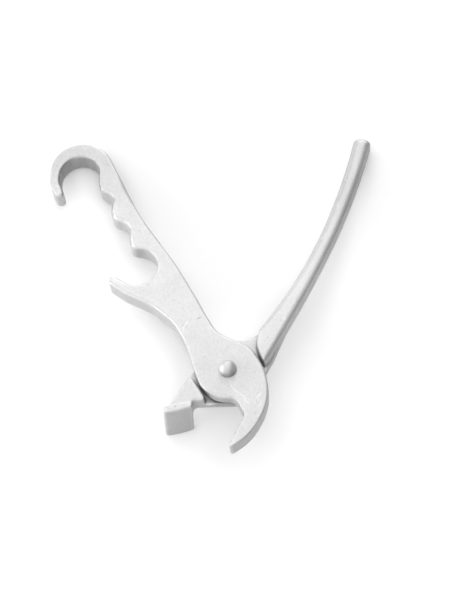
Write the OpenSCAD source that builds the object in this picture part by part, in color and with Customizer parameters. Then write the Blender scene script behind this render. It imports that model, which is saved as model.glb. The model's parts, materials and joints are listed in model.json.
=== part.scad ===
// Pan gripper: two cast levers that cross on one rivet.
// XY is the plane of the levers and Z runs along the rivet.
// The outlines are drawn about the rivet's axis and moved to the origin at the end.

/* [Castings] */
// Thickness of the hook lever
plate_t = 13; // [12.4:0.2:14]
// Thickness of the block lever's arm and handle
arm_t = 11.6; // [11:0.2:12]
// Thickness of the lug that runs under the joint plate
lug_t = 4.6; // [4:0.1:5]
// Play between the lug and the joint plate
lap_gap = 0.2; // [0.1:0.05:0.4]

/* [Hook lever] */
// Inner radius of the hanging hook
hook_r = 11.5; // [11.1:0.1:12.1]
// Radius of the recess that the lug turns in
recess_r = 21.5; // [21.2:0.1:22]
// How much thinner the claw is than the rest, on its underside
claw_relief = 1.4; // [1:0.1:2]

/* [Pad jaw] */
// Width of the pad's front face
pad_w = 15; // [14:0.5:16]
// Thickness of the pad
pad_t = 3; // [2.4:0.2:3.6]
// How far the pad reaches below the levers' undersides
pad_drop = 19.6; // [14:0.2:24]
// How far the pad's top stands above the arm
pad_lip = 0.4; // [0.2:0.1:0.8]

/* [Handle] */
// Half the handle's width at its waist
waist_half = 3.3; // [3.2:0.1:4]
// Rounding along the handle's edges
grip_round = 3; // [2:0.25:3.1]

/* [Rivet] */
// Radius of the half-round head
head_r = 4.8; // [4:0.1:5.4]
// Radius of the shank
shank_r = 2.5; // [2:0.1:3]
// Radius of the closed tail
tail_r = 4.2; // [3.8:0.1:4.8]
// Running clearance round the shank and the tail
run_gap = 0.06; // [0.02:0.01:0.1]

/* [Hidden] */

// The rivet's axis from the origin, which is under the middle of the bounding box
pivot = [10, -48.5, pad_drop];
// Height of the recess's ceiling
lap_z = lug_t + lap_gap;
// Height of the rivet's closed tail
tail_h = 1.7;
// How far a cut reaches past the surface that it cuts
over = 1;
// Largest turn between two points of an arc
arc_step = 3;
least_steps = 2;
// Facets round each kind of circle
bore_facets = 48;
dome_facets = 64;
pocket_facets = 72;
hook_facets = 96;
recess_facets = 120;

casting = [0.80, 0.81, 0.82];
rivet_metal = [0.74, 0.75, 0.77];

hook_centre = [-82.9, 122.7];
// Radius of the hook's two outer corners
hook_wall = 17;

// Plan box round the whole claw
claw_box = [-2, -48];
claw_size = [26, 37.2];

// The recess reaches further where the foot of the handle closes under the hook lever
heel_pocket = [-5.5, 18.5];
heel_pocket_r = 9;

// Hook lever from the prong, down the left side and round, as corners [x, y, radius]
lever_corners = [
  [-65.2, 54.4, 1.7],
  [-56.0, 47.6, 20],
  [-41.5, 40.1, 30],
  [-28.5, 28.7, 24],
  [-21.3, 14.0, 60],
  [-13.2, -16.2, 16.2],
  [3.1, -16.2, 5],
  [9.6, -25.4, 6],
  [0.2, -43.5, 0.7],
  [1.8, -43.4, 0.8],
  [11.8, -36.8, 32],
  [20.9, -19.7, 31],
  [20.9, -0.6, 30],
  [12.0, 12.2, 14],
  [-5.4, 21.4, 22],
  [-27.8, 62.3, 60],
  [-48.9, 94.6, 120],
  [-72.9, 146.3, hook_wall],
  [-98.9, 135.2, hook_wall],
  [-98.9, 114.9, 8],
  [-95.2, 108.7, 2],
  [-90.9, 109.9, 1.6],
  [-94.4, 117.2, 14],
  [-94.4, hook_centre.y, 0],
  [-71.4, hook_centre.y, 0],
  [-71.6, 112.2, 3.6],
  [-62.5, 109.7, 7],
  [-64.5, 93.9, 4],
  [-52.4, 91.3, 9],
  [-53.9, 74.9, 3.8],
  [-37.7, 74.9, 11.9],
  [-37.7, 51.1, 11.9],
  [-53.2, 51.1, 11.9],
  [-62.7, 57.4, 1.6]
];

// The lug under the joint plate, with the feet of the arm and of the handle
lug_corners = [
  [-19.5, -16.4, 0],
  [11.5, -16.4, 16],
  [24.0, 10.0, 0],
  [30.0, 24.0, 0],
  [21.0, 28.1, 0],
  [13.0, 21.9, 10],
  [6.0, 20.9, 12],
  [-9.5, 19.5, 10],
  [-17.2, 5.8, 12],
  [-22.0, -2.4, 6],
  [-25.0, -10.0, 0]
];

// The arm at full thickness, between the joint and the pad
arm_corners = [
  [-20.9, -2.9, 0.8],
  [-31.3, -21.2, 0],
  [-19.4, -20.4, 0],
  [-19.4, -16.4, 3],
  [-12.4, -16.4, 0.5],
  [-12.4, -14.4, 0.5],
  [-19.3, -2.7, 0.5]
];

// Everything of the handle that lies beyond its nose
nose_corners = [
  [21.6, 1.0, 0.4],
  [60.0, 62.0, 0],
  [92.0, 120.0, 0],
  [80.0, 160.0, 0],
  [40.0, 100.0, 0],
  [18.2, 30.0, 0],
  [14.9, 14.5, 12],
  [17.2, 7.0, 12]
];

// The handle's centreline is an arc
grip_centre = [-281.8, 229];
grip_arc_r = 368.3;
grip_from = -38.5;
grip_to = -14.05;
// The handle widens towards its nose and a little towards its end
grip_root_extra = 6.2;
grip_root_power = 4.8;
grip_end_extra = 0.85;
grip_end_power = 3;
grip_end_round = 2.4;
// Share by which its edges are less rounded at the nose
root_crisp = 0.4;
root_crisp_power = 6;
// How many spans the skin has along the handle, round its end and round each edge
grip_spans = 22;
end_spans = 4;
corner_spans = 4;

// The pad's front face runs through this point at this angle
pad_corner = [-18.5, -20.2];
pad_angle = 12.3;
// How far the middle of the face stands ahead of its two edges
pad_bulge = 0.4;
pad_face_set = [0.5, 0.2];
pad_face_r = 60;
pad_front_r = 0.5;
pad_back_r = 0.8;
// How far the foot stands to one side of the pad's top
pad_lean = [-1.6, 0.2];

// The rib's thickness, its length under the arm and its height above the foot
rib_t = 5;
rib_reach = 9;
rib_foot = 4;

// Thickness of the thin layers that the pad is stretched between
slice = 0.01;

function unit2(v) = v / norm(v);

// Points of the arc that rounds corner b between its neighbours a and c
function corner_arc(a, b, c) =
  let (
    p = [b.x, b.y],
    u = unit2([a.x, a.y] - p),
    v = unit2([c.x, c.y] - p),
    half = acos(u * v) / 2,
    centre = p + unit2(u + v) * b[2] / sin(half),
    start = p + u * b[2] / tan(half) - centre,
    turn = sign(cross(v, u)) * (180 - 2 * half),
    steps = max(least_steps, ceil(abs(turn) / arc_step)),
    angle = atan2(start.y, start.x)
  )
  b[2] == 0 ? [p] : [
    for (i = [0:steps])
      centre + b[2] * [cos(angle + turn * i / steps), sin(angle + turn * i / steps)]
  ];

// A closed outline from a list of corners
function outline(list) =
  let (n = len(list))
  [for (i = [0:n - 1]) each corner_arc(list[(i + n - 1) % n], list[i], list[(i + 1) % n])];

// A slab with a corner list's outline
module slab(list, from, to) {
  translate([0, 0, from])
    linear_extrude(to - from)
      polygon(outline(list));
}

function grip_half(s) =
  waist_half + grip_root_extra * pow(1 - s, grip_root_power) + grip_end_extra * pow(s, grip_end_power);

// One rounded section of the handle, at angle a, inset by d
function grip_section(a, d) =
  let (
    s = (a - grip_from) / (grip_to - grip_from),
    r = grip_round * (1 - root_crisp * pow(1 - s, root_crisp_power)) - d / 2,
    w = grip_half(s) - d - r,
    h = arm_t / 2 - d - r
  )
  [for (q = [0:3], i = [0:corner_spans])
    let (
      t = 90 * q + 90 * i / corner_spans,
      across = (q == 0 || q == 3 ? w : -w) + r * cos(t),
      up = (q < 2 ? h : -h) + r * sin(t) + arm_t / 2
    )
    [
      grip_centre.x + (grip_arc_r + across) * cos(a),
      grip_centre.y + (grip_arc_r + across) * sin(a),
      up
    ]
  ];

// The handle as a skin over its sections, rounded at the free end
module grip() {
  end_angle = grip_end_round / grip_arc_r * 180 / PI;
  body = [
    for (i = [0:grip_spans])
      grip_section(grip_from + (grip_to - end_angle - grip_from) * i / grip_spans, 0)
  ];
  cap = [
    for (i = [1:end_spans])
      let (t = 90 * i / end_spans)
      grip_section(grip_to - end_angle * (1 - sin(t)), grip_end_round * (1 - cos(t)))
  ];
  sections = concat(body, cap);
  m = len(sections[0]);
  n = len(sections);
  polyhedron(
    points = [for (s = sections) each s],
    faces = concat(
      [[for (j = [m - 1:-1:0]) j]],
      [for (i = [0:n - 2], j = [0:m - 1])
        [i * m + j, i * m + (j + 1) % m, (i + 1) * m + (j + 1) % m, (i + 1) * m + j]],
      [[for (j = [0:m - 1]) (n - 1) * m + j]]
    )
  );
}

// The pad's outline, in its own frame: X along the front face, Y towards the arm
function pad_outline() = [
  [0, pad_face_set[0], pad_front_r],
  [-pad_w / 2, -pad_bulge, pad_face_r],
  [-pad_w, pad_face_set[1], pad_front_r],
  [-pad_w, pad_t, pad_back_r],
  [0, pad_t, pad_back_r]
];

module in_pad_frame() {
  translate([pad_corner.x, pad_corner.y, 0])
    rotate([0, 0, pad_angle])
      children();
}

// The pad jaw: it leans a little towards its foot
module pad() {
  in_pad_frame()
    hull() {
      translate([0, 0, arm_t + pad_lip - slice])
        linear_extrude(slice)
          polygon(outline(pad_outline()));
      translate([pad_lean.x, pad_lean.y, -pad_drop])
        linear_extrude(slice)
          polygon(outline(pad_outline()));
    }
}

// The rib that backs the pad below the arm
module rib() {
  in_pad_frame()
    translate([-pad_w / 2 - rib_t / 2, 0, 0])
      rotate([90, 0, 90])
        linear_extrude(rib_t)
          polygon([
            [pad_t / 2, slice],
            [rib_reach, slice],
            [rib_reach, -over],
            [pad_t, rib_foot - pad_drop],
            [pad_t / 2, rib_foot - pad_drop]
          ]);
}

module hook_lever() {
  color(casting)
    translate(pivot)
      difference() {
        slab(lever_corners, 0, plate_t);
        translate([hook_centre.x, hook_centre.y, -over])
          cylinder(h = plate_t + 2 * over, r = hook_r, $fn = hook_facets);
        translate([0, 0, -over])
          cylinder(h = lap_z + over, r = recess_r, $fn = recess_facets);
        translate([heel_pocket.x, heel_pocket.y, -over])
          cylinder(h = lap_z + over, r = heel_pocket_r, $fn = pocket_facets);
        translate([claw_box.x, claw_box.y, -over])
          cube([claw_size.x, claw_size.y, over + claw_relief]);
        translate([0, 0, -over])
          cylinder(h = plate_t + 2 * over, r = shank_r, $fn = bore_facets);
      }
}

module block_lever() {
  color(casting)
    translate(pivot)
      difference() {
        union() {
          slab(lug_corners, 0, lug_t);
          slab(arm_corners, 0, arm_t);
          intersection() {
            grip();
            slab(nose_corners, -over, arm_t + over);
          }
          pad();
          rib();
        }
        translate([0, 0, -over])
          cylinder(h = lug_t + 2 * over, r = shank_r + run_gap, $fn = bore_facets);
        translate([0, 0, -slice])
          cylinder(
            h = tail_h + run_gap + slice,
            r1 = tail_r + run_gap,
            r2 = shank_r + run_gap,
            $fn = bore_facets
          );
      }
}

module pivot_rivet() {
  color(rivet_metal)
    translate(pivot) {
      cylinder(h = tail_h, r1 = tail_r, r2 = shank_r, $fn = bore_facets);
      cylinder(h = plate_t, r = shank_r, $fn = bore_facets);
      translate([0, 0, plate_t])
        intersection() {
          sphere(r = head_r, $fn = dome_facets);
          cylinder(h = head_r + over, r = head_r + over, $fn = bore_facets);
        }
    }
}

hook_lever();
block_lever();
pivot_rivet();
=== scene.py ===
import json
import math

import bpy
import numpy as np
from mathutils import Matrix, Vector
from mathutils.kdtree import KDTree


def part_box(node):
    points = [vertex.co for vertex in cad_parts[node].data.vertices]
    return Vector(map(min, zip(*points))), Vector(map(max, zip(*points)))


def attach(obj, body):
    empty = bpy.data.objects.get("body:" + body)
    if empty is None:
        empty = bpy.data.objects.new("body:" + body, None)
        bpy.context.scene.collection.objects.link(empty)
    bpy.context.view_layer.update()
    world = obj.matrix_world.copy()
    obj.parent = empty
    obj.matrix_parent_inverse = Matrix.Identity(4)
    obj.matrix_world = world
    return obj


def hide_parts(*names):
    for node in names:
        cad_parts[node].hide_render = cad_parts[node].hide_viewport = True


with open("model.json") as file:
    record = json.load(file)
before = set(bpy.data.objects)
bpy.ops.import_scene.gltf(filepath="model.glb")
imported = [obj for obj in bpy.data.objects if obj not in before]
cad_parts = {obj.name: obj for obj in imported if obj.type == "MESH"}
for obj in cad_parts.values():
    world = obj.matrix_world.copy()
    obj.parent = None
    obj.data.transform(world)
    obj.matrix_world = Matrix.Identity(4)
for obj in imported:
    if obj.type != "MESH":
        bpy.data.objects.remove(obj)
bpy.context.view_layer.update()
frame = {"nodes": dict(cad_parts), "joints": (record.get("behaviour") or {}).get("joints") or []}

MM = 0.001
ON_AXIS = Vector(frame["joints"][0]["pos_m"]) / MM
BASE = np.array([ON_AXIS.x, ON_AXIS.y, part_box("hook_lever")[0].z / MM])
# Where the camera stands, in metres
CAMERA_AT = Vector((0.0658, -0.4503, 0.9090))
# The size of the castings' quads, and how many rounds of smoothing suit it
CELL = 0.5
RELAX = 7


# ---------------------------------------------------------------- working with skins

def column(items, field, width=1, kind=float):
    """One field of every item of a Blender collection, width numbers to an item."""
    values = np.zeros(len(items) * width, kind)
    items.foreach_get(field, values)
    return values if width == 1 else values.reshape(-1, width)


def node_mesh(name):
    """A CAD node's points, in millimetres from BASE, and its triangles."""
    mesh = frame["nodes"][name].data
    mesh.calc_loop_triangles()
    points = column(mesh.vertices, "co", 3) / MM - BASE
    return points, column(mesh.loop_triangles, "vertices", 3, np.int32)


def remeshed(points, faces):
    """The same solid as an even skin of small quads: its points, faces and edges."""
    source = bpy.data.meshes.new("source")
    source.from_pydata(points.tolist(), [], faces.tolist())
    holder = bpy.data.objects.new("source", source)
    bpy.context.scene.collection.objects.link(holder)
    step = holder.modifiers.new("even", "REMESH")
    step.mode = "VOXEL"
    step.voxel_size = CELL
    even = holder.evaluated_get(bpy.context.evaluated_depsgraph_get())
    mesh = even.to_mesh()
    skin = column(mesh.vertices, "co", 3)
    corners = column(mesh.loops, "vertex_index", 1, np.int32)
    starts = column(mesh.polygons, "loop_start", 1, np.int32)
    totals = column(mesh.polygons, "loop_total", 1, np.int32)
    edges = column(mesh.edges, "vertices", 2, np.int32)
    polys = [corners[s:s + t].tolist() for s, t in zip(starts, totals)]
    even.to_mesh_clear()
    bpy.data.objects.remove(holder)
    bpy.data.meshes.remove(source)
    return skin, polys, edges


def neighbour_count(points, edges):
    return np.bincount(edges.ravel(), minlength=len(points)).astype(float)


def neighbour_mean(values, edges, count):
    """The mean of each point's neighbours' rows."""
    total = np.zeros_like(values)
    for axis in range(values.shape[1]):
        total[:, axis] = np.bincount(edges[:, 0], values[edges[:, 1], axis], len(values))
        total[:, axis] += np.bincount(edges[:, 1], values[edges[:, 0], axis], len(values))
    return total / count[:, None]


def relax(points, edges, weight, rounds):
    """Rounds every edge and corner: a point moves half way to its neighbours, times its weight."""
    count = neighbour_count(points, edges)
    share = weight[:, None] / 2
    for _ in range(rounds):
        points = points + share * (neighbour_mean(points, edges, count) - points)
    return points


def smooth_value(values, edges, rounds):
    return relax(values[:, None], edges, np.ones(len(values)), rounds)[:, 0]


def point_normals(points, polys):
    """Unit normals at the points, from the faces that have them among their first three corners."""
    firsts = np.array([poly[:3] for poly in polys])
    a, b, c = points[firsts[:, 0]], points[firsts[:, 1]], points[firsts[:, 2]]
    face = np.cross(b - a, c - a)
    normals = np.zeros_like(points)
    for corner in range(3):
        for axis in range(3):
            normals[:, axis] += np.bincount(firsts[:, corner], face[:, axis], len(points))
    return normals / np.maximum(np.linalg.norm(normals, axis=1), 1e-12)[:, None]


def swells(points, length, height, seed):
    """A low, smooth unevenness, as a casting has: a sum of waves in random directions."""
    rng = np.random.default_rng(seed)
    total = np.zeros(len(points))
    waves, shortest, longest = 14, 0.7, 1.6
    for _ in range(waves):
        direction = rng.normal(size=3)
        direction /= np.linalg.norm(direction)
        wave = direction * 2 * math.pi / (length * rng.uniform(shortest, longest))
        total += np.sin(points @ wave + rng.uniform(0, 2 * math.pi))
    return total * height / math.sqrt(waves / 2)


def ramp(value, low, high):
    """0 up to low and 1 from high on, with a smooth rise between."""
    t = np.clip((value - low) / (high - low), 0, 1)
    return t * t * (3 - 2 * t)


def near(points, x, y, inner, outer):
    """1 within inner of a place in plan, falling to 0 at outer."""
    return 1 - ramp(np.hypot(points[:, 0] - x, points[:, 1] - y), inner, outer)


def add_piece(name, points, polys, node, body, marks_and_painted_shade):
    """Makes a piece that is seen in place of a CAD node, with marks and painted shade for its material
    to read.
    """
    mesh = bpy.data.meshes.new(name)
    mesh.from_pydata(((points + BASE) * MM).tolist(), [], polys)
    mesh.validate()
    for label, values in marks_and_painted_shade.items():
        layer = mesh.attributes.new(label, "FLOAT", "POINT")
        layer.data.foreach_set("value", values.astype(np.float32))
    mesh.polygons.foreach_set("use_smooth", [True] * len(mesh.polygons))
    piece = bpy.data.objects.new(name, mesh)
    bpy.context.scene.collection.objects.link(piece)
    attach(piece, body)
    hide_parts(node)
    return piece


# ---------------------------------------------------------------- rolled rims

# An outline's samples: how far apart, and over what length their places and directions are evened
SPACING, EVEN_PLACES, EVEN_TURNS = 0.2, 0.5, 1.0
# Towards the hook the lever is softer: beyond a line across it, places are evened over more
SOFT_PLACES, SOFT_FROM, SOFT_FULL = 1.3, 62.0, 70.0
# How far from a rim its rolling reaches, fading out between the two depths
SKIN_FULL, SKIN_END = 0.45, 1.0


def level_loops(points, faces, height):
    """The closed loops where a level plane cuts a closed skin of triangles."""
    same_spot = 0.001
    weld = np.unique(points, axis=0, return_inverse=True)[1].ravel()
    above = points[:, 2] > height
    onward = {}
    # The plane cuts a triangle that has one or two of its three corners above
    for tri in faces[above[faces].sum(1) % 3 > 0]:
        ends = []
        for p, q in zip(tri, np.roll(tri, -1)):
            if above[p] != above[q]:
                share = (height - points[p, 2]) / (points[q, 2] - points[p, 2])
                spot = (points[p] + share * (points[q] - points[p]))[:2]
                ends.append((above[q], tuple(sorted((weld[p], weld[q]))), spot))
        ends.sort(key=lambda end: end[0])
        onward[ends[0][1]] = (ends[1][1], ends[1][2])
    loops = []
    while onward:
        here = next(iter(onward))
        loop = []
        while here in onward:
            here, spot = onward.pop(here)
            if not loop or np.hypot(*(spot - loop[-1])) > same_spot:
                loop.append(spot)
        loops.append(np.array(loop))
    return loops


def evened(values, length):
    """A closed loop's rows, each averaged with the samples around it, over about length."""
    sigma = length / SPACING
    reach = int(math.ceil(3 * sigma))
    kernel = np.exp(-0.5 * (np.arange(-reach, reach + 1) / sigma) ** 2)
    kernel /= kernel.sum()
    padded = np.concatenate([values[-reach:], values, values[:reach]])
    return np.stack([np.convolve(padded[:, k], kernel, "valid") for k in range(2)], 1)


def signed_area(line):
    onward = np.roll(line, -1, 0)
    return 0.5 * np.sum(line[:, 0] * onward[:, 1] - onward[:, 0] * line[:, 1])


def outline_samples(loops):
    """Points along the loops, and at each the direction into the metal."""
    places, inwards = [], []
    for loop in loops:
        closed = np.vstack([loop, loop[:1]])
        along = np.r_[0, np.cumsum(np.hypot(*np.diff(closed, axis=0).T))]
        count = int(along[-1] / SPACING)
        at = np.arange(count) * along[-1] / count
        line = np.stack([np.interp(at, along, closed[:, k]) for k in range(2)], 1)
        soft = ramp(line[:, 1:], SOFT_FROM, SOFT_FULL)
        line = evened(line, EVEN_PLACES) * (1 - soft) + evened(line, SOFT_PLACES) * soft
        tangent = evened(np.roll(line, -1, 0) - np.roll(line, 1, 0), EVEN_TURNS)
        tangent /= np.hypot(*tangent.T)[:, None]
        places.append(line)
        inwards.append(np.stack([-tangent[:, 1], tangent[:, 0]], 1))
    areas = [signed_area(line) for line in places]
    outer = int(np.argmax(np.abs(areas)))
    for k, area in enumerate(areas):
        if (area > 0) != (k == outer):
            inwards[k] = -inwards[k]
    return np.vstack(places), np.vstack(inwards)


def blended(places, controls):
    """Values at places, blended from the nearest control rows (x, y, value...)."""
    softening, fall_off = 0.5, 4
    controls = np.array(controls, float)
    gap = places[:, None] - controls[None, :, :2]
    weight = 1 / (np.hypot(gap[..., 0], gap[..., 1]) + softening) ** fall_off
    weight /= weight.sum(1)[:, None]
    return weight @ controls[:, 2:]


def round_rims(points, places, inwards, floor_z, top_z, top_r, low_r, grow):
    """Rolls a slab's upper and lower rims over to the given radii, and moves its wall out by grow."""
    tree = KDTree(len(places))
    for k, (x, y) in enumerate(places):
        tree.insert((x, y, 0), k)
    tree.balance()
    nearest = np.array([tree.find((x, y, 0))[1] for x, y in points[:, :2]])
    # How far a point is inside the outline, and how far it is below the top or above the floor
    inward = inwards[nearest]
    depth_in = np.einsum("ij,ij->i", points[:, :2] - places[nearest], inward)
    from_top = top_z - points[:, 2]
    from_low = points[:, 2] - floor_z[nearest]
    upper = from_top < from_low
    edge = np.where(upper, from_top, from_low)
    radius = np.where(upper, top_r[nearest], low_r[nearest])
    # Each rim becomes a quarter circle. A point's along is -radius or less on the flat face, radius
    # or more on the wall, and between them on the rim
    along = edge - depth_in
    angle = np.clip(math.pi / 4 * (1 + along / radius), 0, math.pi / 2)
    on_flat, on_wall = along <= -radius, along >= radius
    new_in = np.where(on_flat, depth_in, radius * (1 - np.sin(angle)))
    new_edge = np.where(on_wall | on_flat, edge, radius * (1 - np.cos(angle)))
    skin = 1 - ramp(np.minimum(np.abs(edge), np.abs(depth_in)), SKIN_FULL, SKIN_END)
    # The growth fades out over the upper and lower faces, behind the rim
    behind, fade = 1.2 * radius, 4
    spread = grow[nearest] * (1 - ramp(depth_in, behind, behind + fade))
    points = points.copy()
    points[:, :2] += inward * ((new_in - depth_in) * skin - spread)[:, None]
    lift = (new_edge - edge) * skin
    points[:, 2] += np.where(upper, -lift, lift)
    return points


def seen_slope(points, outward):
    """How the view from the camera slopes across an upright wall: above 0 when it faces the camera."""
    sight = np.array(CAMERA_AT) / MM - BASE
    return np.einsum("ij,ij->i", outward, sight[:2] - points[:, :2]) / sight[2]


def lost_width(slope):
    """How much narrower a rim of radius 1 looks than a sharp one."""
    return 1 + np.abs(slope) - np.sqrt(1 + slope ** 2)


# ---------------------------------------------------------------- marks, and painted light and shade, on the castings

# Fine scratches on the upper faces, and dark nicks, as lines drawn in plan
HOOK_SCRATCHES = [
    [(1, -6), (2, -10), (4.5, -13), (7, -14.5), (8.5, -16), (9.5, -18.5), (11, -19.5)],
    [(-21.5, 28.5), (-23, 26), (-23.3, 23)],
    [(15, -17), (17, -14.5)],
    [(16.2, -21.5), (17.2, -19.5)],
    [(-52, 84.5), (-49.5, 82.5)],
    [(-82, 139), (-79.5, 138)],
    [(-75, 139.5), (-73, 138)],
    [(-96, 115), (-94.5, 114.5)],
]
HOOK_NICKS = [[(-16, 30), (-14.5, 30.8)]]
BLOCK_SCRATCHES = [
    [(51.5, 77.5), (53.5, 80.5)],
    [(27, 33.5), (28.5, 32.5)],
    [(29.5, 30), (31, 28.5)],
    [(31.5, 40.5), (34, 44)],
    [(60, 97), (61, 100)],
    [(-29.7, -19.1), (-25, -18.4), (-20.1, -17.8)],
]
BLOCK_NICKS = [[(-27.6, -19.9), (-27.3, -20)]]
# Distances to a mark are kept up to FAR, and only this high or higher
FAR, MARKED_FROM = 2.0, 9.0
# A casting's unevenness: how long and how high its waves are
LONG_WAVES, SHORT_WAVES = (16, 0.035), (5, 0.012)


def apart(points, lines):
    """How far each point of the upper faces is from a set of lines in plan, up to FAR."""
    best = np.full(len(points), FAR)
    for line in lines:
        for a, b in zip(line, line[1:]):
            start, run = np.array(a, float), np.array(b, float) - a
            share = np.clip((points[:, :2] - start) @ run / (run @ run), 0, 1)
            best = np.minimum(best, np.hypot(*(points[:, :2] - start - share[:, None] * run).T))
    return np.where(points[:, 2] > MARKED_FROM, best, FAR)


def exposure(points, normals, edges):
    """How far each point stands out from those around it, above 0 on rims and below 0 in hollows."""
    rounds, gain = 6, 4
    around = neighbour_mean(points, edges, neighbour_count(points, edges))
    bulge = np.einsum("ij,ij->i", points - around, normals)
    return smooth_value(bulge, edges, rounds) / CELL ** 2 * gain


def wall_painted_shade(normals, edges):
    """Painted shade, 1 on walls and 0 on level faces. To the left, the walls are lighter and the rims
    darker, as painted light from the left.
    """
    left_wall, left_rim = 0.45, 0.6
    # Upward is 0 on an upright wall and 1 on a level upper face
    upward = normals[:, 2]
    to_left = ramp(-normals[:, 0], 0.1, 0.6)
    wall = 1 - ramp(np.abs(upward), 0.25, 0.95)
    upright = 1 - ramp(np.abs(upward), 0.1, 0.4)
    rim = ramp(upward, 0.2, 0.5) * (1 - ramp(upward, 0.9, 0.99))
    painted_flank_shade = wall * (1 - left_wall * to_left * upright) + left_rim * rim * to_left
    return smooth_value(painted_flank_shade, edges, 1)


def lever_painted_light(points, dimmed_along):
    """Painted light along a lever: lighter past the joint, then darker over a stretch, as the light
    falls off towards the far end.
    """
    base, lighter, dimmer = 0.02, 0.05, 0.14
    along = points[:, 1]
    return base + lighter * ramp(along, 0, 30) - dimmer * ramp(along, *dimmed_along)


def finish_casting(name, node, body, skin, seed, painted_shadow, dimmed_along, scratches, nicks):
    """Makes a lever from its skin: its points before rounding, its points, its faces, its edges."""
    sharp, points, polys, edges = skin
    normals = point_normals(points, polys)
    uneven = swells(sharp, *LONG_WAVES, seed) + swells(sharp, *SHORT_WAVES, seed + 1)
    points = points + normals * uneven[:, None]
    # Besides real wear, scratches and nicks, these carry painted shade and painted light
    marks_and_painted_shade = {
        "wear_and_hollow_shade": exposure(points, normals, edges),
        "painted_flank_shade": wall_painted_shade(normals, edges),
        "painted_shadow": painted_shadow,
        "painted_light": lever_painted_light(sharp, dimmed_along),
        "scratch": apart(sharp, scratches),
        "nick": apart(sharp, nicks),
    }
    return add_piece(name, points, polys, node, body, marks_and_painted_shade)


# ---------------------------------------------------------------- hook lever

# Rim radii over the lever's plan: x, y, upper rim, lower rim
RIMS = [
    (-66, 55, 2.3, 1.8), (-56, 47, 2.6, 2.0), (-42, 40, 2.6, 2.0), (-28, 28, 2.0, 2.0),
    (-20, 8, 1.7, 1.6), (-13, -12, 1.8, 2.6), (-4, -16, 2.4, 2.0), (5, -18, 2.0, 1.0),
    (7, -30, 0.9, 1.0), (1, -43, 1.0, 1.0), (12, -37, 1.1, 1.2), (20, -20, 1.2, 1.4),
    (20.9, -2, 1.3, 1.0), (12, 13, 1.4, 1.0), (-5, 23, 1.5, 1.2), (-28, 62, 1.6, 1.5),
    (-49, 95, 1.5, 1.5), (-64, 125, 1.2, 1.6), (-80, 140, 1.0, 1.6), (-97, 132, 1.0, 1.6),
    (-99, 118, 1.0, 1.6), (-94, 109, 2.2, 1.8), (-94, 118, 2.0, 1.6), (-83, 134, 1.8, 1.4),
    (-71.5, 120, 2.2, 1.6), (-71, 112, 3.2, 2.0), (-63, 109, 3.2, 2.0), (-64, 95, 3.4, 2.2),
    (-54, 92, 3.2, 2.2), (-54, 76, 3.4, 2.2), (-44, 74, 2.2, 1.8), (-38, 66, 1.5, 1.5),
    (-39, 54, 1.5, 1.5), (-50, 51, 1.6, 1.5), (-60, 56, 2.0, 1.6),
]
RIM_GROWTH = 0.25
# The outline is taken at MID_LEVEL, without the bore, which is the loop within BORE_REACH
MID_LEVEL, BORE_REACH = 8.0, 6.0
# The plate's thickness, to the nearest micrometre
PLATE_TOP = round(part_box("hook_lever")[1].z / MM - BASE[2], 3)
# The recess for the lug, the largest lower rim above it, and how much less its edges are rounded
RECESS_R, RECESS_TOP, RECESS_RIM, LAP_LESS = 21.5, 4.8, 2.4, 0.6
# The claw's underside, and the region in plan where it is
CLAW_LOW, CLAW_LINE, CLAW_SIDE = 1.4, -10.8, -2
# Where the block lever's nose comes at the joint's limits: x, y, full and fading reach
NOSE_WIDE_OPEN, NOSE_SQUEEZED = (20.5, 2, 6, 12), (-8, 28, 5, 18)


def plate_painted_shadow(points):
    """Painted shadow along the joint plate's lower left rim, over the lug, where the gap between the
    parts is in shade.
    """
    x, y, z = points.T
    shadow_top = 9.4 - 3.6 * ramp(x, -16, -4)
    reach = (1 - ramp(np.hypot(x, y), 21.4, 21.8)) * (1 - ramp(x, 3, 9))
    return reach * (1 - ramp(y, -4, 6)) * (1 - ramp(z - shadow_top, -0.7, 0.7))


def hook_casting():
    """The hook lever, with rolled rims, and walls moved out by the width that the rims lose."""
    points, faces = node_mesh("hook_lever")
    loops = level_loops(points, faces, MID_LEVEL)
    places, inwards = outline_samples([l for l in loops if np.hypot(*l.T).max() > BORE_REACH])
    top_r, low_r = blended(places, RIMS).T
    in_recess = np.hypot(*places.T) < RECESS_R
    on_claw = (places[:, 1] < CLAW_LINE) & (places[:, 0] > CLAW_SIDE) & ~in_recess
    floor_z = np.where(in_recess, RECESS_TOP, np.where(on_claw, CLAW_LOW, 0.0))
    low_r = np.where(in_recess, np.minimum(low_r, RECESS_RIM), low_r)
    # A wall that faces the camera loses width at its lower rim, and one that faces away at its upper
    slope = seen_slope(places, -inwards)
    grow = RIM_GROWTH + np.where(slope > 0, low_r, top_r) * lost_width(slope)
    # The joint plate's rim over the arm stays where it is
    grow[in_recess & (places[:, 1] < 0)] = 0
    grow *= (1 - near(places, *NOSE_WIDE_OPEN)) * (1 - near(places, *NOSE_SQUEEZED))
    sharp, polys, edges = remeshed(points, faces)
    points = round_rims(sharp, places, inwards, floor_z, PLATE_TOP, top_r, low_r, grow)
    # The edges of the half-lap over the lug stay sharper than the others
    half_lap = near(sharp, 0, 0, 21.0, 23.0) * (1 - ramp(sharp[:, 2], 5.5, 8))
    points = relax(points, edges, 1 - LAP_LESS * half_lap, RELAX)
    return finish_casting(
        "hook_lever_casting", "hook_lever", "hook_side", (sharp, points, polys, edges), seed=11,
        painted_shadow=plate_painted_shadow(sharp), dimmed_along=(85, 135), scratches=HOOK_SCRATCHES, nicks=HOOK_NICKS
    )


# ---------------------------------------------------------------- block lever

# How much the arm is rounded, and how much less the pad, the grip and the lug are
ARM_ROUND, PAD_LESS, GRIP_LESS, LUG_LESS = 0.75, 0.35, 0.5, 0.85
# How far the walls move out: on the pad and the grip, all round and then on the side away from
# the camera as well
ARM_GROWTH, PAD_GROWTH, GRIP_GROWTH = 0.3, (0.3, 0.2), (0.35, 0.6)
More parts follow.
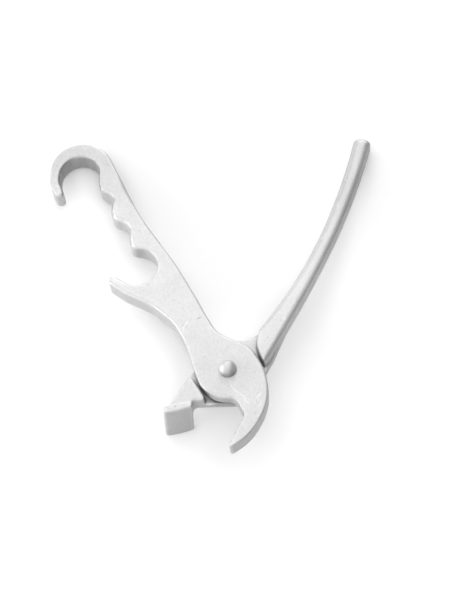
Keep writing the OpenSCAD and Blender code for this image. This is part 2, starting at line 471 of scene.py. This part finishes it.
# The pad's foot moves down by this, over these depths below the plates
FOOT_GROWTH, FOOT_DEPTHS = 0.5, (12, 20)
# Where the hook lever's neck comes when squeezed, and how much of the growth goes there
NECK_SQUEEZED, NECK_LESS = (16.3, 24.1, 4, 22), 0.4


def arm_painted_shadow(points):
    """Painted shadow on the arm's top where it comes out from under the joint plate."""
    x, y, z = points.T
    darkest_shadow = 0.4
    across = ramp(x, -10, -6) * (1 - ramp(x, 12, 16)) * ramp(-y, 9, 12)
    return darkest_shadow * across * ramp(z, 2.5, 3.5) * (1 - ramp(z, 5.0, 6.0))


def block_casting():
    """The block lever, rounded by region, with its walls and the pad's foot moved out."""
    sharp, polys, edges = remeshed(*node_mesh("block_lever"))
    x, y, z = sharp.T
    from_axis = np.hypot(x, y)
    # Each region is 1 in its middle and fades out towards the next
    on_pad = ramp(-y, 15.5, 19)
    on_grip = ramp(y, 2, 12) * ramp(x, 14, 20)
    lug = (1 - ramp(from_axis, 21, 25)) * (1 - ramp(z, 5.0, 6.0))
    weight = ARM_ROUND - PAD_LESS * on_pad - GRIP_LESS * on_grip
    points = relax(sharp, edges, weight * (1 - LUG_LESS * lug), 4 * RELAX)
    normals = point_normals(points, polys)
    wall = 1 - ramp(np.abs(normals[:, 2]), 0.5, 0.98)
    away = 1 - ramp(seen_slope(points, normals[:, :2]), -0.2, 0.1)
    grow = np.zeros(len(points))
    for region, (all_round, far_side) in ((on_pad, PAD_GROWTH), (on_grip, GRIP_GROWTH)):
        grow += (all_round + far_side * away) * region
    grow += ARM_GROWTH * (1 - on_pad) * (1 - on_grip) * (1 - lug)
    # Room for the joint plate, and for the hook lever's neck
    grow *= ramp(from_axis, 19, 25) * (1 - NECK_LESS * away * near(sharp, *NECK_SQUEEZED))
    points[:, :2] += normals[:, :2] * (grow * wall)[:, None]
    points[:, 2] -= FOOT_GROWTH * on_pad * ramp(-z, *FOOT_DEPTHS)
    return finish_casting(
        "block_lever_casting", "block_lever", "block_side", (sharp, points, polys, edges), seed=23,
        painted_shadow=arm_painted_shadow(sharp), dimmed_along=(40, 120), scratches=BLOCK_SCRATCHES, nicks=BLOCK_NICKS
    )


# ---------------------------------------------------------------- rivet

def rivet_profile():
    """Half of the rivet's section, from the middle of its tail to the top of its head."""
    head_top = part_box("pivot_rivet")[1].z / MM - BASE[2]
    tail_r, tail_h, shank_r, head_r = 4.2, 1.7, 2.5, 4.8
    # The tail is flat out to its last inner ring, and its edge is broken
    inner_rings, break_in, break_low, break_high = (0, 1.2, 2.6), 0.25, 0.04, 0.2
    profile = [(ring, 0) for ring in inner_rings]
    profile += [(tail_r - break_in, break_low), (tail_r, break_high)]
    profile += [(shank_r, tail_h), (shank_r, PLATE_TOP)]
    steps = 22
    for k in range(steps):
        turn = math.pi / 2 * k / steps
        rise = (head_top - PLATE_TOP) * math.sin(turn)
        profile.append((head_r * math.cos(turn), PLATE_TOP + rise))
    return profile + [(0, head_top)]


def turned(profile, segments):
    """A solid of revolution on the rivet's axis, from (radius, height) points."""
    rings = []
    points = []
    for radius, height in profile:
        if radius == 0:
            rings.append([len(points)] * segments)
            points.append((0, 0, height))
            continue
        rings.append(list(range(len(points), len(points) + segments)))
        for k in range(segments):
            turn = 2 * math.pi * k / segments
            points.append((radius * math.cos(turn), radius * math.sin(turn), height))
    polys = []
    for lower, upper in zip(rings, rings[1:]):
        for k in range(segments):
            m = (k + 1) % segments
            corners = [lower[k], lower[m], upper[m], upper[k]]
            polys.append(list(dict.fromkeys(corners)))
    return np.array(points, float), polys


def rivet():
    """The rivet, slightly dented all over."""
    points, polys = turned(rivet_profile(), segments=72)
    dent, dent_length = 0.02, 6
    points += dent * np.stack([swells(points, dent_length, 1, seed) for seed in (31, 32, 33)], 1)
    height = points[:, 2]
    unmarked = np.full(len(points), FAR)
    marks_and_painted_shade = {
        # The dome is rubbed on top, and has painted shade round its side
        "wear_and_hollow_shade": 0.2 * ramp(height, 15, 18),
        "painted_flank_shade": 0.35 * (1 - ramp(height, 13, 17.5)),
        # Painted shade round the dome's foot, on the claw's side
        "painted_shadow": 0.35 * ramp(-points[:, 1], 1.5, 4.6),
        "scratch": unmarked,
        "nick": unmarked,
    }
    return add_piece(
        "pivot_rivet_turned", points, polys, "pivot_rivet", "hook_side", marks_and_painted_shade
    )


hook_piece = hook_casting()
block_piece = block_casting()
rivet_piece = rivet()


# ---------------------------------------------------------------- metal

# Most of a noise's values lie in this range
NOISE = (0.3, 0.7)
# How much of the tint each thing adds or takes away; the darkening of hollows, walls and the parts'
# overlaps is painted shade
BROAD_TONE, FINE_TONE, SPECK_TONE = 0.035, 0.05, 0.03
EXPOSED_LIGHT, SUNK_PAINTED_SHADE, PIT_DARK, WALL_PAINTED_SHADE = 0.05, 0.12, 0.25, 0.25
SCRATCH_LIGHT, NICK_DARK, PAINTED_SHADOW_DARK = 0.27, 0.35, 0.93
# The range of exposure over which a point comes to stand out, and that over which it is sunk
STANDS_OUT, IS_SUNK = (0.05, 0.45), (-0.35, -0.05)
# How far from its line a scratch or a nick is full, and where it ends
SCRATCH_HALF, NICK_HALF = (0.2, 0.55), (0.1, 0.6)
# A small pit counts for this much of a big one
SMALL_PIT = 0.5
# How much each thing changes the roughness
GRAIN_ROUGH, EXPOSED_SMOOTH, PIT_ROUGH = 0.05, 0.08, 0.2
# How much each thing raises or sinks the surface, as a share of BUMP_DEPTH, which is in metres
FINE_HIGH, SPECK_HIGH, BROAD_HIGH, PIT_DEEP = 0.55, 0.25, 0.8, 0.9
BUMP_DEPTH = 0.0002


def cast_metal(name, tint, rough, grain, seed):
    """Tumbled cast aluminium: grain of three sizes, sparse pits, worn rims and scratches, with painted
    shade on walls, in hollows, under the joint plate and round the rivet's foot, and painted light
    along the levers.
    """
    material = bpy.data.materials.new(name)
    material.use_nodes = True
    tree = material.node_tree
    nodes, links = tree.nodes, tree.links
    shader = nodes["Principled BSDF"]
    shader.inputs["Metallic"].default_value = 1.0
    place = nodes.new("ShaderNodeTexCoord").outputs["Object"]

    def textured(kind, shift, scale):
        node = nodes.new(kind)
        moved = nodes.new("ShaderNodeMapping")
        moved.inputs["Location"].default_value = shift
        links.new(place, moved.inputs["Vector"])
        links.new(moved.outputs["Vector"], node.inputs["Vector"])
        node.inputs["Scale"].default_value = scale
        return node

    def noise(scale, detail, roughness, offset):
        shift = (seed * 0.37 + offset, seed * 0.11, offset)
        node = textured("ShaderNodeTexNoise", shift, scale)
        node.inputs["Detail"].default_value = detail
        node.inputs["Roughness"].default_value = roughness
        return node.outputs["Fac"]

    def stored_value(label):
        node = nodes.new("ShaderNodeAttribute")
        node.attribute_name = label
        return node.outputs["Fac"]

    def span(value, low, high, to_low, to_high):
        node = nodes.new("ShaderNodeMapRange")
        links.new(value, node.inputs["Value"])
        node.inputs["From Min"].default_value = low
        node.inputs["From Max"].default_value = high
        node.inputs["To Min"].default_value = to_low
        node.inputs["To Max"].default_value = to_high
        return node.outputs["Result"]

    def sums(kind, a, b):
        node = nodes.new("ShaderNodeMath")
        node.operation = kind
        for socket, value in zip(node.inputs, (a, b)):
            if isinstance(value, (int, float)):
                socket.default_value = value
            else:
                links.new(value, socket)
        return node.outputs[0]

    def pits(scale, kept, radius, offset):
        cells = textured("ShaderNodeTexVoronoi", (offset, seed * 0.2, 0.1), scale)
        chosen = nodes.new("ShaderNodeSeparateColor")
        links.new(cells.outputs["Color"], chosen.inputs["Color"])
        middle = span(cells.outputs["Distance"], 0.0, radius, 1.0, 0.0)
        return sums("MULTIPLY", middle, sums("LESS_THAN", chosen.outputs[0], kept))

    broad = noise(scale=60, detail=4, roughness=0.55, offset=0.0)
    fine = noise(scale=900, detail=6, roughness=0.65, offset=3.0)
    speck = noise(scale=2600, detail=3, roughness=0.7, offset=5.0)
    small_pits = pits(scale=420, kept=0.16, radius=0.33, offset=1.0)
    big_pits = pits(scale=110, kept=0.05, radius=0.14, offset=2.0)
    hollow = sums("MAXIMUM", sums("MULTIPLY", small_pits, SMALL_PIT), big_pits)
    wear_and_hollow_shade = stored_value("wear_and_hollow_shade")
    exposed = span(wear_and_hollow_shade, *STANDS_OUT, 0.0, 1.0)
    sunk_shade = span(wear_and_hollow_shade, *IS_SUNK, 1.0, 0.0)
    scratched = span(stored_value("scratch"), *SCRATCH_HALF, 1.0, 0.0)
    nicked = span(stored_value("nick"), *NICK_HALF, NICK_DARK, 0.0)

    shade = span(broad, *NOISE, -BROAD_TONE, BROAD_TONE)
    shade = sums("ADD", shade, span(fine, *NOISE, -FINE_TONE, FINE_TONE))
    shade = sums("ADD", shade, span(speck, *NOISE, -SPECK_TONE, SPECK_TONE))
    shade = sums("ADD", shade, sums("MULTIPLY", exposed, EXPOSED_LIGHT))
    # Hollows darken by painted shade
    shade = sums("SUBTRACT", shade, sums("MULTIPLY", sunk_shade, SUNK_PAINTED_SHADE))
    shade = sums("SUBTRACT", shade, sums("MULTIPLY", hollow, PIT_DARK))
    # Walls darken by painted shade, less to the left
    shade = sums("SUBTRACT", shade, sums("MULTIPLY", stored_value("painted_flank_shade"), WALL_PAINTED_SHADE))
    # Painted light along each lever
    shade = sums("ADD", shade, stored_value("painted_light"))
    shade = sums("ADD", shade, sums("MULTIPLY", scratched, sums("MULTIPLY", broad, SCRATCH_LIGHT)))
    shade = sums("SUBTRACT", shade, nicked)
    # Painted shadow under the joint plate and round the rivet's foot
    unshadowed = sums("SUBTRACT", 1.0, sums("MULTIPLY", stored_value("painted_shadow"), PAINTED_SHADOW_DARK))
    colour = nodes.new("ShaderNodeVectorMath")
    colour.operation = "SCALE"
    colour.inputs[0].default_value = tint
    links.new(sums("MULTIPLY", sums("ADD", shade, 1.0), unshadowed), colour.inputs["Scale"])
    links.new(colour.outputs["Vector"], shader.inputs["Base Color"])

    finish = span(fine, *NOISE, rough + GRAIN_ROUGH, rough - GRAIN_ROUGH)
    finish = sums("ADD", finish, sums("MULTIPLY", exposed, -EXPOSED_SMOOTH))
    finish = sums("ADD", finish, sums("MULTIPLY", hollow, PIT_ROUGH))
    links.new(finish, shader.inputs["Roughness"])

    height = sums("ADD", sums("MULTIPLY", fine, FINE_HIGH), sums("MULTIPLY", speck, SPECK_HIGH))
    height = sums("SUBTRACT", height, sums("MULTIPLY", hollow, PIT_DEEP))
    height = sums("ADD", height, sums("MULTIPLY", broad, BROAD_HIGH))
    bump = nodes.new("ShaderNodeBump")
    bump.inputs["Strength"].default_value = grain
    bump.inputs["Distance"].default_value = BUMP_DEPTH
    links.new(height, bump.inputs["Height"])
    links.new(bump.outputs["Normal"], shader.inputs["Normal"])
    return material


for piece, name, tint, rough, grain, seed in (
    (hook_piece, "cast_hook", (0.58, 0.58, 0.58), 0.58, 0.7, 1),
    (block_piece, "cast_block", (0.58, 0.58, 0.583), 0.58, 0.7, 2),
    (rivet_piece, "rivet_metal", (0.58, 0.58, 0.585), 0.62, 0.5, 3),
):
    piece.data.materials.append(cast_metal(name, tint, rough, grain, seed))


# ---------------------------------------------------------------- table

HALF_TABLE = 4.0
# The tool stands this far off the table
TABLE_GAP = 0.00003
# The pad's foot lies below the first height, and both levers' ends lie beyond the second line
FOOT_BELOW, ENDS_BEYOND = 0.004, 0.05
# Away from the tool the table fades to the backdrop's white, between these distances
FADE_FROM, FADE_TO = 0.2, 0.42


def resting_plane(clouds):
    """The plane z = a x + b y + c that touches the lowest point of each of three clouds."""
    a = b = c = 0.0
    tries = 30
    for _ in range(tries):
        lowest = []
        for cloud in clouds:
            k = np.argmin(cloud[:, 2] - a * cloud[:, 0] - b * cloud[:, 1])
            lowest.append(cloud[k])
        rows = np.array(lowest)
        a, b, c = np.linalg.solve(np.c_[rows[:, :2], np.ones(3)], rows[:, 2])
    return a, b, c


def paper():
    """Matt, nearly white paper. Only the camera sees it fade to white, and no light comes from that."""
    material = bpy.data.materials.new("paper")
    material.use_nodes = True
    nodes, links = material.node_tree.nodes, material.node_tree.links
    shader = nodes["Principled BSDF"]
    shader.inputs["Base Color"].default_value = (0.93, 0.93, 0.93, 1)
    shader.inputs["Roughness"].default_value = 0.9
    shader.inputs["Specular IOR Level"].default_value = 0.1
    distance = nodes.new("ShaderNodeVectorMath")
    distance.operation = "LENGTH"
    links.new(nodes.new("ShaderNodeTexCoord").outputs["Object"], distance.inputs[0])
    fade = nodes.new("ShaderNodeMapRange")
    links.new(distance.outputs["Value"], fade.inputs["Value"])
    fade.inputs["From Min"].default_value = FADE_FROM
    fade.inputs["From Max"].default_value = FADE_TO
    share = nodes.new("ShaderNodeMath")
    share.operation = "MULTIPLY"
    links.new(fade.outputs["Result"], share.inputs[0])
    links.new(nodes.new("ShaderNodeLightPath").outputs["Is Camera Ray"], share.inputs[1])
    white = nodes.new("ShaderNodeEmission")
    white.inputs["Strength"].default_value = 1.0
    blend = nodes.new("ShaderNodeMixShader")
    links.new(share.outputs["Value"], blend.inputs["Fac"])
    links.new(shader.outputs["BSDF"], blend.inputs[1])
    links.new(white.outputs["Emission"], blend.inputs[2])
    links.new(blend.outputs["Shader"], nodes["Material Output"].inputs["Surface"])
    return material


def lay_table():
    """A table under the tool as it rests, on the pad's foot and the far ends of both levers."""
    hook = column(hook_piece.data.vertices, "co", 3)
    block = column(block_piece.data.vertices, "co", 3)
    foot = block[block[:, 2] < FOOT_BELOW]
    ends = [points[points[:, 1] > ENDS_BEYOND] for points in (block, hook)]
    slope_x, slope_y, height = resting_plane([foot, *ends])
    corners = []
    for side_x, side_y in ((-1, -1), (1, -1), (1, 1), (-1, 1)):
        x, y = side_x * HALF_TABLE, side_y * HALF_TABLE
        corners.append((x, y, slope_x * x + slope_y * y + height - TABLE_GAP))
    mesh = bpy.data.meshes.new("table")
    mesh.from_pydata(corners, [], [(0, 1, 2, 3)])
    mesh.materials.append(paper())
    table = bpy.data.objects.new("table", mesh)
    bpy.context.scene.collection.objects.link(table)


lay_table()


# ---------------------------------------------------------------- light and camera

scene = bpy.context.scene
scene.view_settings.view_transform = "Standard"
# Each soft light's name, place, side in metres and power in watts. All face the frame's origin
LIGHTS = [
    ("overhead", (0.0, 0.15, 1.5), 2.4, 26.3),
    ("left", (-1.6, -0.2, 0.25), 1.0, 16.5),
    ("left_front", (-1.2, -1.0, 0.3), 1.0, 8.2),
    ("left_back", (-1.3, 0.9, 0.3), 1.0, 11.0),
    ("behind", (0.1, 1.6, 0.7), 1.2, 12.2),
    ("front", (0.0, -1.7, 0.5), 1.2, 12.0),
]


def soft_box(name, place, size, power):
    data = bpy.data.lights.new(name, "AREA")
    data.shape = "SQUARE"
    data.size = size
    data.energy = power
    light = bpy.data.objects.new(name, data)
    light.location = place
    light.rotation_mode = "QUATERNION"
    light.rotation_quaternion = (-Vector(place)).to_track_quat("-Z", "Y")
    light.visible_camera = False
    scene.collection.objects.link(light)


def studio_world():
    """A backdrop that is white to look at and gives only a little light."""
    seen, lighting = 1.0, 0.17
    world = bpy.data.worlds.new("studio")
    world.use_nodes = True
    nodes, links = world.node_tree.nodes, world.node_tree.links
    backdrop = nodes["Background"]
    backdrop.inputs["Color"].default_value = (1, 1, 1, 1)
    strength = nodes.new("ShaderNodeMapRange")
    links.new(nodes.new("ShaderNodeLightPath").outputs["Is Camera Ray"], strength.inputs["Value"])
    strength.inputs["To Min"].default_value = lighting
    strength.inputs["To Max"].default_value = seen
    links.new(strength.outputs["Result"], backdrop.inputs["Strength"])
    return world


def place_camera():
    """A long lens above the claw's side of the tool, which looks away from back."""
    data = bpy.data.cameras.new("camera")
    data.sensor_width = 36
    data.lens = 110.2
    data.clip_start = 0.01
    camera = bpy.data.objects.new("camera", data)
    scene.collection.objects.link(camera)
    back = Vector((0.05818, -0.44996, 0.89116)).normalized()
    rightward = Vector((0.99789, 0.0, -0.0650))
    up = back.cross(rightward).normalized()
    right = up.cross(back)
    camera.matrix_world = Matrix((
        (right.x, up.x, back.x, CAMERA_AT.x),
        (right.y, up.y, back.y, CAMERA_AT.y),
        (right.z, up.z, back.z, CAMERA_AT.z),
        (0, 0, 0, 1),
    ))
    return camera


for light in LIGHTS:
    soft_box(*light)
scene.world = studio_world()
scene.camera = place_camera()
